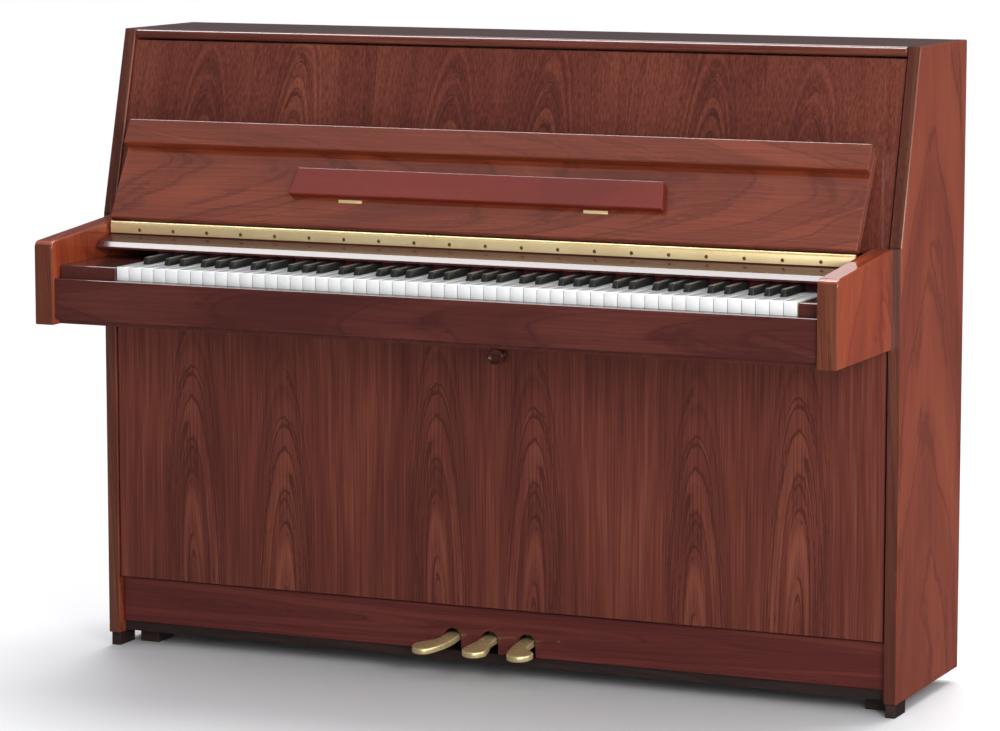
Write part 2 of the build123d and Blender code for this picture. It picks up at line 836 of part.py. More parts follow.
def main():
    names = {-1: "left", 1: "right"}
    for side, name in names.items():
        save(make_side_panel(side), f"side_panel_{name}")
        save(make_arm(side), f"arm_{name}")
        save(make_key_block(side), f"key_block_{name}")
    save(make_keybed(), "keybed")
    save(make_key_slip(), "key_slip")
    save(make_name_rail(), "name_rail")
    save(make_name_rail_felt(), "name_rail_felt")
    save(make_upper_panel(), "upper_panel")
    save(make_lid_rear_rail(), "lid_rear_rail")
    save(make_toe_rail(), "toe_rail")
    save(make_bottom_board(), "bottom_board")
    save(make_corner_feet(), "corner_feet")
    save(make_fallboard_hinge(), "fallboard_hinge")
    save(make_hinge_screws(), "hinge_screws")
    save(make_lid_hinge(), "lid_hinge")
    save(make_top_lid(), "top_lid")
    save(make_fallboard(), "fallboard")
    save(make_fallboard_flap(), "fallboard_flap")
    save(make_music_ledge(), "music_ledge")
    save(make_ledge_hinges(), "ledge_hinges")
    save(make_lower_panel(), "lower_panel")
    save(make_panel_knob(), "panel_knob")
    save(make_white_keys(), "white_keys")
    save(make_black_keys(), "black_keys")
    for number in range(OCTAVE, OCTAVE + 7):
        note = NOTES[number % 7]
        save(make_white_key(number), f"key_{note}")
        if sharp_centre(number):
            save(make_black_key(number), f"key_{note}_sharp")
    save(make_key_frame(), "key_frame")
    for number, name in ((-1, "left"), (0, "middle"), (1, "right")):
        save(make_pedal(number), f"pedal_{name}")
        save(make_trap_lever(number), f"trap_lever_{name}")
    save(make_pedal_bracket(), "pedal_bracket")
    save(make_trap_blocks(), "trap_blocks")
    save(make_back_frame(), "back_frame")
    save(make_soundboard(), "soundboard")
    save(make_soundboard_ribs(), "soundboard_ribs")
    save(make_bridges(), "bridges")
    save(make_iron_plate(), "iron_plate")
    save(make_tuning_pins(), "tuning_pins")
    save(make_treble_strings(), "treble_strings")
    save(make_bass_strings(), "bass_strings")
    save(make_hammers(), "hammers")
    save(make_dampers(), "dampers")
    save(make_action_rails(), "action_rails")
    save(make_action_brackets(), "action_brackets")


main()
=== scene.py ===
"""Finishes and details for a packed upright piano, and the plain studio it stands in.

Every place and size is in metres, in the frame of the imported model: X runs along the
keyboard, the player sits at -Y, and Z is up.
"""

import json
import logging
import math
import sys
from collections.abc import Callable, Iterator
from contextlib import contextmanager
from dataclasses import dataclass, field
from enum import Enum

import bmesh
import bpy
from mathutils import Matrix, Vector

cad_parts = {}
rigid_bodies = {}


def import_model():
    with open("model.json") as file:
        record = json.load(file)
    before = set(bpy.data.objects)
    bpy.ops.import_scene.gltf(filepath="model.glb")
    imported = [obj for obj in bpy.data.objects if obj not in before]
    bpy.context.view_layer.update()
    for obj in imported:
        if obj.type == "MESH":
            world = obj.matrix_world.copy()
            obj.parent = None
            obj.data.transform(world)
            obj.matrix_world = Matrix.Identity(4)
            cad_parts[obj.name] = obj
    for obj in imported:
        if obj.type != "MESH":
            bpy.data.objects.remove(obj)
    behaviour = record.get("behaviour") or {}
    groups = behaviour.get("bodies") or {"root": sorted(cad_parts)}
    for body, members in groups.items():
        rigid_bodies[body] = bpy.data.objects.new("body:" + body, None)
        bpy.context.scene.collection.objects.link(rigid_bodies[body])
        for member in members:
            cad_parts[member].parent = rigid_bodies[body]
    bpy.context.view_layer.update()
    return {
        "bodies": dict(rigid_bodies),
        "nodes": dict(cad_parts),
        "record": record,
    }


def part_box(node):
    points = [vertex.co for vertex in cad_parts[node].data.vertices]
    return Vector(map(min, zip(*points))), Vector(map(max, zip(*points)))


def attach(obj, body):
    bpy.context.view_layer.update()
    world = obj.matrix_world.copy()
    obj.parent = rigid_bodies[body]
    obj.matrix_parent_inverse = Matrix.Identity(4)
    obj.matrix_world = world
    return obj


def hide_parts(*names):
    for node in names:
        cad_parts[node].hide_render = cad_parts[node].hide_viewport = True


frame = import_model()
LOG = logging.getLogger("piano")

Piece = bpy.types.Object
Socket = bpy.types.NodeSocket
Triple = tuple[float, float, float]
Tones = tuple[Triple, Triple, Triple]
MM = 0.001
WELD = 2e-6
UPRIGHT = Matrix.Rotation(math.radians(90.0), 4, "X")


# ---- shader writing ----


class Value:
    """A number that varies over a surface. Python's operators add the Math nodes."""

    def __init__(self, graph: "Graph", socket: Socket) -> None:
        """Wraps one output socket.

        Args:
            graph: the node tree that the socket is in.
            socket: the output that carries the number.
        """
        self.graph = graph
        self.socket = socket

    def __add__(self, other: "Value | float") -> "Value":
        """The sum."""
        return self.graph.math("ADD", self, other)

    def __sub__(self, other: "Value | float") -> "Value":
        """The difference."""
        return self.graph.math("SUBTRACT", self, other)

    def __rsub__(self, other: "Value | float") -> "Value":
        """The difference, with this value taken away."""
        return self.graph.math("SUBTRACT", other, self)

    def __mul__(self, other: "Value | float") -> "Value":
        """The product."""
        return self.graph.math("MULTIPLY", self, other)

    def __truediv__(self, other: "Value | float") -> "Value":
        """The quotient."""
        return self.graph.math("DIVIDE", self, other)

    def __rtruediv__(self, other: "Value | float") -> "Value":
        """The quotient, with this value below the line."""
        return self.graph.math("DIVIDE", other, self)

    def __abs__(self) -> "Value":
        """The size without its sign."""
        return self.graph.math("ABSOLUTE", self)

    def __mod__(self, other: "Value | float") -> "Value":
        """The remainder, never negative."""
        return self.graph.math("FLOORED_MODULO", self, other)

    def __gt__(self, other: "Value | float") -> "Value":
        """1 where this is more than the other, else 0."""
        return self.graph.math("GREATER_THAN", self, other)

    def __lt__(self, other: "Value | float") -> "Value":
        """1 where this is less than the other, else 0."""
        return self.graph.math("LESS_THAN", self, other)

    __radd__ = __add__
    __rmul__ = __mul__

    def floor(self) -> "Value":
        """The whole number below."""
        return self.graph.math("FLOOR", self)

    def root(self) -> "Value":
        """The square root."""
        return self.graph.math("SQRT", self)

    def wave(self) -> "Value":
        """The sine of this angle in radians."""
        return self.graph.math("SINE", self)

    def either(self, other: "Value | float") -> "Value":
        """The larger of the two."""
        return self.graph.math("MAXIMUM", self, other)

    def step(self, low: float, high: float) -> "Value":
        """A smooth rise from 0 at low to 1 at high, or a fall where low is the larger."""
        settings = {"interpolation_type": "SMOOTHSTEP"}
        first, last, start, end = (low, high, 0.0, 1.0) if low < high else (high, low, 1.0, 0.0)
        inputs = {"Value": self, "From Min": first, "From Max": last, "To Min": start, "To Max": end}
        node = self.graph.node("ShaderNodeMapRange", settings, inputs)
        return Value(self.graph, node.outputs["Result"])


Number = Value | float


class Graph:
    """The nodes of one material or world."""

    def __init__(self, owner: bpy.types.Material | bpy.types.World) -> None:
        """Empties the owner's tree, ready for new nodes.

        Args:
            owner: the material or world to write in.
        """
        owner.use_nodes = True
        self.tree = owner.node_tree
        self.tree.nodes.clear()

    def node(self, kind: str, settings: dict | None = None, inputs: dict | None = None) -> bpy.types.Node:
        """Adds a node.

        Args:
            kind: the node's type.
            settings: its properties; "stops" gives a ramp's (position, colour) pairs.
            inputs: values or links for its sockets, by name or number.

        Returns:
            The new node.
        """
        made = self.tree.nodes.new(kind)
        for name, value in (settings or {}).items():
            if name == "stops":
                self.set_stops(made.color_ramp, value)
            else:
                setattr(made, name, value)
        for name, value in (inputs or {}).items():
            self.feed(made.inputs[name], value)
        return made

    def feed(self, socket: Socket, value: object) -> None:
        """Links or sets one input.

        Args:
            socket: the input.
            value: a Value, an output socket, a number, or a colour or vector.
        """
        if isinstance(value, Value):
            value = value.socket
        if isinstance(value, Socket):
            self.tree.links.new(value, socket)
        elif socket.type == "RGBA" and len(value) == 3:
            socket.default_value = (*value, 1.0)
        else:
            socket.default_value = value

    @staticmethod
    def set_stops(ramp: bpy.types.ColorRamp, stops: list[tuple[float, Triple]]) -> None:
        """Writes a ramp's stops.

        Args:
            ramp: the colour ramp.
            stops: positions and colours, in order.
        """
        while len(ramp.elements) < len(stops):
            ramp.elements.new(1.0)
        for element, (position, colour) in zip(ramp.elements, stops):
            element.position = position
            element.color = (*colour, 1.0)

    def math(self, operation: str, first: Number, second: Number = 0.0) -> Value:
        """A Math node's result."""
        node = self.node("ShaderNodeMath", {"operation": operation}, {0: first, 1: second})
        return Value(self, node.outputs[0])

    def place(self) -> Socket:
        """The object's own coordinates."""
        return self.node("ShaderNodeTexCoord").outputs["Object"]

    def along(self, vector: Socket, direction: Triple) -> Value:
        """How far a point lies along a direction."""
        node = self.node("ShaderNodeVectorMath", {"operation": "DOT_PRODUCT"}, {0: vector, 1: direction})
        return Value(self, node.outputs["Value"])

    def vector(self, x: Number, y: Number, z: Number) -> Socket:
        """Three numbers as one vector."""
        return self.node("ShaderNodeCombineXYZ", None, {0: x, 1: y, 2: z}).outputs[0]

    def noise(self, vector: Socket, scale: float = 1.0, detail: float = 2.0) -> Value:
        """Soft noise, about 0.5 in the middle."""
        inputs = {"Vector": vector, "Scale": scale, "Detail": detail, "Roughness": 0.55}
        return Value(self, self.node("ShaderNodeTexNoise", None, inputs).outputs[0])

    def ramp(self, factor: Value, stops: list[tuple[float, Triple]]) -> Socket:
        """A colour that follows a number through stops."""
        return self.node("ShaderNodeValToRGB", {"stops": stops}, {0: factor}).outputs[0]

    def mix(self, factor: Number, first: object, second: object, blend: str = "MIX") -> Socket:
        """Two colours mixed; the second shows where the factor is 1."""
        settings = {"data_type": "RGBA", "blend_type": blend}
        return self.node("ShaderNodeMix", settings, {0: factor, 6: first, 7: second}).outputs[2]

    def bump(self, height: Value, distance: float) -> Socket:
        """A normal from a height, which is the distance in metres where the value is 1."""
        return self.node("ShaderNodeBump", None, {"Distance": distance, "Height": height}).outputs[0]

    def surface(self, **inputs: object) -> None:
        """Ends a material in a Principled shader.

        Args:
            inputs: its sockets, with underscores for spaces.
        """
        named = {name.replace("_", " "): value for name, value in inputs.items()}
        shader = self.node("ShaderNodeBsdfPrincipled", None, named)
        self.node("ShaderNodeOutputMaterial", None, {"Surface": shader.outputs[0]})


# ---- finishes ----


class Run(Enum):
    """Which way a board's grain runs: across it, along it, and into the board."""

    FRONT_UPRIGHT = ((1.0, 0.0, 0.0), (0.0, 0.0, 1.0), (0.0, 1.0, 0.0))
    SIDE_UPRIGHT = ((0.0, 1.0, 0.0), (0.0, 0.0, 1.0), (1.0, 0.0, 0.0))
    FRONT_LEVEL = ((0.0, 0.0, 1.0), (1.0, 0.0, 0.0), (0.0, 1.0, 0.0))
    TOP_LEVEL = ((0.0, 1.0, 0.0), (1.0, 0.0, 0.0), (0.0, 0.0, 1.0))
    LEAF_LEVEL = ((0.0, 0.5, 0.866), (1.0, 0.0, 0.0), (0.0, -0.866, 0.5))
    KEY = ((1.0, 0.0, 0.0), (0.0, 1.0, 0.0), (0.0, 0.0, 1.0))
    SLANTED = ((0.788, 0.0, 0.616), (-0.616, 0.0, 0.788), (0.0, 1.0, 0.0))


@dataclass(frozen=True)
class Figure:
    """How a board was cut from its log, and so how its growth rings show.

    heart is the distance from the log's heart where the grain coordinate is 0, and taper
    is how fast that grows along the board, which draws the pointed arches. Leaves are
    narrow sheets laid side by side, each the mirror image of the last, and lean is how far
    each one's arches stand from its middle. Past reach from the heart the rings fade out
    and leave straight grain.
    """

    run: Run = Run.FRONT_UPRIGHT
    heart: float = 0.05
    taper: float = 0.12
    middle: float = 0.0
    leaf: float = 0.0
    rings: float = 90.0
    sway: float = 0.02
    lean: float = 0.0
    reach: float = 1.0


@dataclass(frozen=True)
class Timber:
    """Wood with rings, fibres and pores, bare or under polish, with painted shade on chosen faces."""

    name: str
    tones: Tones
    figure: Figure = field(default_factory=Figure)
    contrast: float = 1.0
    pores: float = 0.25
    polish: float = 1.0
    rough: float = 0.42
    # painted shade: faces past a distance along a direction (the front faces of the side panels and arms) are
    # multiplied by the tint below, darker and less red
    painted_front_shade: tuple[tuple[Triple, float], ...] = ()
    painted_shade_tint: Triple = (0.44, 0.70, 0.95)

    def colour(self, graph: Graph) -> tuple[Socket, Value]:
        """Writes the wood's colour, with painted shade multiplied onto the chosen faces.

        Args:
            graph: the material's nodes.

        Returns:
            The colour, and the fibres' fine relief.
        """
        cut = self.figure
        dark, middle, light = self.tones
        place = graph.place()
        across, along, deep = (graph.along(place, axis) for axis in cut.run.value)
        offset = across - cut.middle
        seam: Number = 0.0
        number: Number = 0.0
        if cut.leaf:
            cell = offset / cut.leaf
            number = cell.floor()
            inner = cell - number - 0.5
            seam = abs(inner).step(0.5 - 0.9 * MM / cut.leaf, 0.5)
            offset = inner * (1.0 - 2.0 * (number % 2.0)) * cut.leaf + cut.lean
            along = along + (number * 2.4).wave() * 0.045
        drift = graph.noise(graph.vector(offset * 6.0, along * 1.7, deep * 6.0), 1.0, 2.0) - 0.5
        fine_drift = graph.noise(graph.vector(offset * 30.0, along * 5.0, number), 1.0, 1.0) - 0.5
        bent = offset + drift * cut.sway + fine_drift * (cut.sway * 0.16)
        depth = (along * cut.taper + cut.heart + drift * (cut.sway * 0.5)).either(0.004) + deep
        radius = (bent * bent + depth * depth).root()
        rings = graph.noise(graph.vector(radius * cut.rings, bent * 3.0, along * 0.7), 1.0, 3.0)
        crinkle = graph.noise(graph.vector(bent * 160.0, along * 60.0, deep * 60.0), 1.0, 1.0) - 0.5
        late = abs(rings + crinkle * 0.05 - 0.5).step(0.03, 0.0)
        fibre = graph.noise(graph.vector(bent * 340.0, along * 5.0, deep * 340.0), 1.0, 2.0)
        pore = graph.noise(graph.vector(bent * 1500.0, along * 55.0, deep * 1500.0), 1.0, 1.0)
        pore = pore.step(0.6, 0.72)
        cloud = graph.noise(graph.vector(offset * 9.0, along * 2.2, number * 3.0 + deep * 4.0), 1.0, 2.0)
        near = radius.step(1.25 * cut.reach, 0.85 * cut.reach)
        tone = (rings - 0.5) * (near * 0.7 + 0.4) * (1.05 * self.contrast)
        tone = tone + (fibre - 0.5) * (0.75 * self.contrast)
        tone = tone + (cloud - 0.5) * (0.6 * self.contrast) + 0.5
        colour = graph.ramp(tone, [(0.18, dark), (0.5, middle), (0.86, light)])
        deepest = tuple(0.45 * c for c in dark)
        colour = graph.mix(late * near * (0.85 * self.contrast), colour, dark)
        colour = graph.mix(pore * self.pores, colour, deepest)
        if cut.leaf:
            colour = graph.mix(seam * 0.5, colour, deepest)
        # painted shade: the chosen front faces are multiplied darker and less red
        for direction, distance in self.painted_front_shade:
            shaded_face = graph.along(place, direction) > distance
            colour = graph.mix(shaded_face, colour, graph.mix(1.0, colour, self.painted_shade_tint, "MULTIPLY"))
        return colour, fibre - pore * 0.6

    def make(self) -> bpy.types.Material:
        """The material."""
        made = bpy.data.materials.new(self.name)
        graph = Graph(made)
        colour, relief = self.colour(graph)
        graph.surface(
            Base_Color=colour,
            Roughness=self.rough + (relief - 0.5) * 0.16,
            Normal=graph.bump(relief, 0.00006 if self.polish else 0.0002),
            Specular_IOR_Level=0.02 if self.polish else 0.4,
            Coat_Weight=self.polish,
            Coat_Roughness=0.035,
            Coat_IOR=1.5,
        )
        return made


@dataclass(frozen=True)
class Metal:
    """Metal with fine rubbing marks, tarnish in its hollows and a cast or drawn texture."""

    name: str
    bright: Triple
    dull: Triple
    rough: float = 0.22
    grain: Triple = (300.0, 300.0, 300.0)
    relief: float = 0.00003
    metallic: float = 1.0
    polish: float = 0.0

    def make(self) -> bpy.types.Material:
        """The material."""
        made = bpy.data.materials.new(self.name)
        graph = Graph(made)
        place = graph.place()
        x, y, z = (graph.along(place, axis) for axis in ((1.0, 0.0, 0.0), (0.0, 1.0, 0.0), (0.0, 0.0, 1.0)))
        drawn = graph.vector(x * self.grain[0], y * self.grain[1], z * self.grain[2])
        rubbed = graph.noise(drawn, 1.0, 3.0)
        patch = graph.noise(place, 14.0, 3.0)
        speck = graph.noise(place, 420.0, 2.0).step(0.66, 0.78)
        worn = patch.step(0.35, 0.7) * 0.55 + speck * 0.25
        graph.surface(
            Base_Color=graph.mix(worn, self.bright, self.dull),
            Roughness=self.rough + (rubbed - 0.5) * 0.16 + patch * 0.06,
            Metallic=self.metallic,
            Normal=graph.bump(rubbed, self.relief),
            Coat_Weight=self.polish,
            Coat_Roughness=0.1,
        )
        return made


@dataclass(frozen=True)
class Wire:
    """A string: bare drawn wire, or wound with a close helix of finer wire."""

    name: str
    bright: Triple
    dull: Triple
    turns: float = 0.0

    def make(self) -> bpy.types.Material:
        """The material."""
        made = bpy.data.materials.new(self.name)
        graph = Graph(made)
        place = graph.place()
        z = graph.along(place, (0.0, 0.0, 1.0))
        tint = graph.noise(place, 60.0, 2.0)
        if self.turns:
            wound = (z * (self.turns * math.tau)).wave() * 0.5 + 0.5
        else:
            wound = graph.noise(graph.vector(0.0, 0.0, z * 900.0), 1.0, 1.0)
        graph.surface(
            Base_Color=graph.mix(tint, self.bright, self.dull),
            Roughness=0.24 + tint * 0.12,
            Metallic=1.0,
            Normal=graph.bump(wound, 0.00025 if self.turns else 0.00002),
        )
        return made


@dataclass(frozen=True)
class Felt:
    """Pressed wool, with fibres lying every way and a soft nap."""

    name: str
    shade: Triple
    pile: Triple

    def make(self) -> bpy.types.Material:
        """The material."""
        made = bpy.data.materials.new(self.name)
        graph = Graph(made)
        place = graph.place()
        fibres = graph.noise(place, 1900.0, 3.0)
        tufts = graph.noise(place, 260.0, 2.0)
        tone = fibres * 0.6 + tufts * 0.4
        graph.surface(
            Base_Color=graph.ramp(tone, [(0.3, self.shade), (0.7, self.pile)]),
            Roughness=0.93 + (fibres - 0.5) * 0.1,
            Normal=graph.bump(tone, 0.0006),
            Sheen_Weight=0.4,
            Sheen_Roughness=0.5,
            Specular_IOR_Level=0.15,
        )
        return made


@dataclass(frozen=True)
class KeyCovering:
    """A key's stick of spruce under its covering, which is on top and down the front."""

    name: str
    cover_shade: Triple
    cover_light: Triple
    stick: Timber
    line: float
    front: float
    back: float
    rough: float
    polish: float

    def make(self) -> bpy.types.Material:
        """The material."""
        made = bpy.data.materials.new(self.name)
        graph = Graph(made)
        place = graph.place()
        y = graph.along(place, (0.0, 1.0, 0.0))
        z = graph.along(place, (0.0, 0.0, 1.0))
        mottle = graph.noise(place, 30.0, 3.0)
        haze = graph.noise(place, 1100.0, 2.0)
        covered = (z > self.line).either(y < self.front) * (y < self.back)
        wood, relief = self.stick.colour(graph)
        cover = graph.mix(mottle, self.cover_shade, self.cover_light)
        graph.surface(
            Base_Color=graph.mix(covered, wood, cover),
            Roughness=covered * (self.rough - 0.55) + 0.55 + (haze - 0.5) * 0.08,
            Normal=graph.bump(haze * 0.4 + relief * (1.0 - covered), 0.00004),
            Coat_Weight=covered * self.polish,
            Coat_Roughness=0.06,
        )
        return made


class Finishes:
    """Every finish on the piano, made once."""

    def __init__(self) -> None:
        """Makes the materials by name."""
        toe = ((0.0445, 0.0102, 0.0095), (0.0940, 0.0203, 0.0165), (0.1604, 0.0415, 0.0293))
        red = ((0.0521, 0.0134, 0.0102), (0.1146, 0.0288, 0.0190), (0.1980, 0.0588, 0.0350))
        warm = ((0.068, 0.0118, 0.0052), (0.155, 0.0285, 0.0118), (0.270, 0.061, 0.023))
        side = ((0.110, 0.0195, 0.0100), (0.205, 0.0400, 0.0187), (0.310, 0.074, 0.031))
        arm = ((0.130, 0.0205, 0.0090), (0.245, 0.0425, 0.0165), (0.370, 0.078, 0.027))
        deep = ((0.0326, 0.0084, 0.0077), (0.0691, 0.0168, 0.0133), (0.1200, 0.0348, 0.0238))
        stain = ((0.105, 0.0130, 0.0080), (0.152, 0.0190, 0.0115), (0.198, 0.026, 0.0158))
        black = ((0.010, 0.004, 0.003), (0.020, 0.008, 0.006), (0.035, 0.015, 0.011))
        pale = ((0.43, 0.27, 0.13), (0.56, 0.39, 0.21), (0.66, 0.49, 0.29))
        beech = ((0.30, 0.17, 0.085), (0.42, 0.26, 0.14), (0.52, 0.35, 0.20))
        front, flank, level = Run.FRONT_UPRIGHT, Run.SIDE_UPRIGHT, Run.FRONT_LEVEL
        leaf, lean = 238.0 * MM, 30.0 * MM
        plain = Figure(level, 0.03, 0.02, 0.65, 0.0, 210.0, 0.03)
        stick = Timber("key_stick", pale, Figure(Run.KEY, 0.3, 0.0, rings=420.0, sway=0.004))
        made = [
            Timber("lower_veneer", red, Figure(front, 0.022, 0.125, 0.0, leaf, 85.0, 0.022, lean, 0.062)),
            Timber("upper_veneer", red, Figure(front, 0.1347, -0.117, 0.0, leaf, 300.0, 0.018, lean, 0.056)),
            # the front faces of the side panels and arms get painted shade
            Timber("side_veneer", side, Figure(flank, 0.02, 0.05, 0.12, 0.0, 60.0, 0.03), 0.7,
                   painted_front_shade=(((0.0, -1.0, 0.0), 0.0325), ((0.0, -0.966, 0.258), 0.2320))),
            Timber("arm_veneer", arm, Figure(flank, 0.02, 0.06, -0.12, 0.0, 75.0), 0.7,
                   painted_front_shade=(((0.0, -1.0, 0.0), 0.2985),)),
            Timber("level_veneer", deep, plain, 0.55),
            Timber("rail_veneer", deep, plain, 0.55, polish=0.72),
            Timber("toe_veneer", toe, Figure(level, 0.05, 0.02, 0.09, 0.0, 160.0), 0.5),
            Timber("lid_veneer", red, Figure(Run.TOP_LEVEL, 0.05, 0.03, 0.15, 0.0, 90.0)),
            Timber("fallboard_veneer", warm,
                   Figure(Run.LEAF_LEVEL, 0.06, 0.035, 0.72, 0.0, 170.0, 0.04), 0.55),
            Timber("ledge_stain", stain, Figure(Run.LEAF_LEVEL, 0.1, 0.01, 0.7, 0.0, 90.0), 0.45),
            Timber("block_stain", deep, Figure(Run.KEY, 0.1, 0.01, 0.6, 0.0, 90.0), 0.4),
            Timber("dark_board", black, Figure(level, 0.05, 0.02, 0.02), polish=0.0, rough=0.6),
            Timber("frame_wood", beech, Figure(front, 0.15, 0.05, 0.1, 0.0, 160.0), 0.7,
                   polish=0.0, rough=0.62),
            Timber("beam_wood", beech, Figure(level, 0.15, 0.03, 0.6, 0.0, 160.0), 0.7,
                   polish=0.0, rough=0.62),
            Timber("spruce", pale, Figure(Run.SLANTED, 0.6, 0.0, 0.2, 0.0, 330.0, 0.004), 0.8,
                   pores=0.15, polish=0.35, rough=0.5),
            stick,
            Metal("brass", (1.0, 0.82, 0.46), (0.84, 0.62, 0.30), 0.32, (40.0, 900.0, 900.0), metallic=0.6),
            Metal("screw_brass", (0.30, 0.19, 0.08), (0.16, 0.09, 0.035), 0.34),
            Metal("pedal_brass", (0.96, 0.80, 0.42), (0.80, 0.62, 0.28), 0.26,
                  (700.0, 60.0, 700.0), metallic=0.72),
            Metal("steel", (0.62, 0.62, 0.64), (0.36, 0.34, 0.33), 0.3),
            Metal("plate_iron", (0.55, 0.38, 0.14), (0.36, 0.23, 0.08), 0.42,
                  (260.0, 260.0, 260.0), 0.0003, 0.75, 0.3),
            Wire("string_steel", (0.66, 0.66, 0.68), (0.42, 0.42, 0.44)),
            Wire("string_copper", (0.72, 0.32, 0.17), (0.46, 0.19, 0.10), 900.0),
            Felt("red_felt", (0.030, 0.0022, 0.0040), (0.090, 0.008, 0.012)),
            Felt("white_felt", (0.50, 0.47, 0.40), (0.80, 0.77, 0.70)),
            KeyCovering("white_key", (0.72, 0.735, 0.735), (0.79, 0.805, 0.80), stick,
                        711.4 * MM, -273.8 * MM, -124.9 * MM, 0.22, 0.5),
            KeyCovering("black_key", (0.0085, 0.0095, 0.0095), (0.016, 0.018, 0.018), stick,
                        709.0 * MM, -222.0 * MM, -128.0 * MM, 0.3, 0.12),
        ]
        self.by_name = {finish.name: finish.make() for finish in made}

    def __getitem__(self, name: str) -> bpy.types.Material:
        """A finish by its name."""
        return self.by_name[name]


# ---- the bench: making pieces with the operators ----


class Bench:
    """What is selected, edited, applied and named while a piece is made."""

    @staticmethod
    def hold(*pieces: Piece) -> None:
        """Selects these pieces and nothing else; the first is active."""
        for other in list(bpy.context.selected_objects):
            other.select_set(False)
        for piece in pieces:
            piece.select_set(True)
        if pieces:
            bpy.context.view_layer.objects.active = pieces[0]

    @staticmethod
    def settle(piece: Piece, name: str = "") -> Piece:
        """Puts a piece's place into its mesh, and names it where a name is given."""
        Bench.hold(piece)
        bpy.ops.object.transform_apply(location=True, rotation=True, scale=True)
        if name:
            piece.name = piece.data.name = name
        return piece

    @staticmethod
    def box(name: str, low: Triple, high: Triple) -> Piece:
        """A cube stretched between two corners."""
        middle, size = (Vector(low) + Vector(high)) / 2, Vector(high) - Vector(low)
        Bench.hold()
        bpy.ops.mesh.primitive_cube_add(size=1.0, location=middle, scale=size)
        return Bench.settle(bpy.context.object, name)

    @staticmethod
    def rod(name: str, start: Triple, end: Triple, radius: float, sides: int) -> Piece:
        """A cylinder from one point to another."""
        line = Vector(end) - Vector(start)
        Bench.hold()
        turn = line.to_track_quat("Z", "Y").to_euler()
        middle = (Vector(start) + Vector(end)) / 2
        bpy.ops.mesh.primitive_cylinder_add(
            vertices=sides, radius=radius, depth=line.length, location=middle, rotation=turn
        )
        return Bench.settle(bpy.context.object, name)

    @staticmethod
    def link(name: str, data: bpy.types.ID) -> Piece:
        """A new object in the scene, made of a mesh, a light or a camera."""
        made = bpy.data.objects.new(name, data)
        bpy.context.scene.collection.objects.link(made)
        return made

    @staticmethod
    def drawn(name: str, points: list[Triple], edges: list[tuple[int, int]], faces: list[tuple]) -> Piece:
        """A new mesh from its points, edges and faces."""
        mesh = bpy.data.meshes.new(name)
        mesh.from_pydata(points, edges, faces)
        return Bench.link(name, mesh)

    @staticmethod
    def slab(name: str, outline: list[tuple[float, float]], thick: float) -> Piece:
        """A flat shape of an even thickness.

        Args:
            name: what it is called.
            outline: its corners, as distances along Y and Z.
            thick: its thickness along X, about X = 0.

        Returns:
            The closed piece.
        """
        corners = [(0.0, y, z) for y, z in outline]
        piece = Bench.drawn(name, corners, [], [tuple(range(len(corners)))])
        Bench.modify(piece, "SOLIDIFY", thickness=thick, offset=0.0)
        return Bench.outwards(piece)

    @staticmethod
    def turned(name: str, profile: list[tuple[float, float]], sides: int) -> Piece:
        """A shape turned on a lathe.

        Args:
            name: what it is called.
            profile: its radii and heights along Z, from the middle of one end to the middle of the other.
            sides: how many faces go round it.

        Returns:
            The closed piece.
        """
        points = [(radius, 0.0, height) for radius, height in profile]
        edges = [(i, i + 1) for i in range(len(points) - 1)]
        piece = Bench.drawn(name, points, edges, [])
        Bench.modify(
            piece, "SCREW", steps=sides, render_steps=sides, use_merge_vertices=True, merge_threshold=1e-6
        )
        return Bench.outwards(piece)

    @staticmethod
    def outwards(piece: Piece) -> Piece:
        """Turns every face of a closed piece to the outside."""
        with Bench.edit(piece):
            bpy.ops.mesh.select_all(action="SELECT")
            bpy.ops.mesh.remove_doubles(threshold=WELD)
            bpy.ops.mesh.normals_make_consistent(inside=False)
        return piece

    @staticmethod
    def modify(piece: Piece, kind: str, **settings: object) -> Piece:
        """Adds a modifier and applies it.

        Args:
            piece: the mesh it works on.
            kind: the modifier's type.
            settings: its properties.

        Returns:
            The same piece.
        """
        Bench.hold(piece)
        modifier = piece.modifiers.new(kind.title(), kind)
        for name, value in settings.items():
            setattr(modifier, name, value)
        bpy.ops.object.modifier_apply(modifier=modifier.name)
        return piece

    @staticmethod
    def ease(piece: Piece, width: float, segments: int = 2, angle: float = 35.0) -> Piece:
        """Rounds the edges that turn more sharply than an angle in degrees, and smooths the piece."""
        Bench.modify(
            piece, "BEVEL", width=width, segments=segments, limit_method="ANGLE",
            angle_limit=math.radians(angle),
        )
        return Bench.smooth(piece)

    @staticmethod
    def smooth(piece: Piece, angle: float = 30.0) -> Piece:
        """Shades a piece smooth, apart from edges sharper than an angle in degrees."""
        Bench.hold(piece)
        bpy.ops.object.shade_smooth_by_angle(angle=math.radians(angle))
        return piece

    @staticmethod
    @contextmanager
    def edit(piece: Piece) -> Iterator[None]:
        """Edit mode on one piece, with nothing selected at first."""
        Bench.hold(piece)
        bpy.ops.object.mode_set(mode="EDIT")
        bpy.ops.mesh.select_mode(type="FACE")
        bpy.ops.mesh.select_all(action="DESELECT")
        yield
        bpy.ops.object.mode_set(mode="OBJECT")

    @staticmethod
    def round_over(piece: Piece, width: float, segments: int, test: Callable[[Vector], bool]) -> None:
        """Rounds the sharp edges whose middles pass a test.

        Args:
            piece: the mesh.
            width: how far the rounding reaches from each edge.
            segments: how many faces go across it.
            test: says whether an edge is wanted, from its middle.
        """
        with Bench.edit(piece):
            bpy.ops.mesh.select_mode(type="EDGE")
            mesh = bmesh.from_edit_mesh(piece.data)
            for edge in mesh.edges:
                middle = (edge.verts[0].co + edge.verts[1].co) / 2
                edge.select_set(edge.calc_face_angle(0.0) > math.radians(40.0) and test(middle))
            bmesh.update_edit_mesh(piece.data)
            bpy.ops.mesh.bevel(offset=width, segments=segments, profile=0.5)
        Bench.smooth(piece)

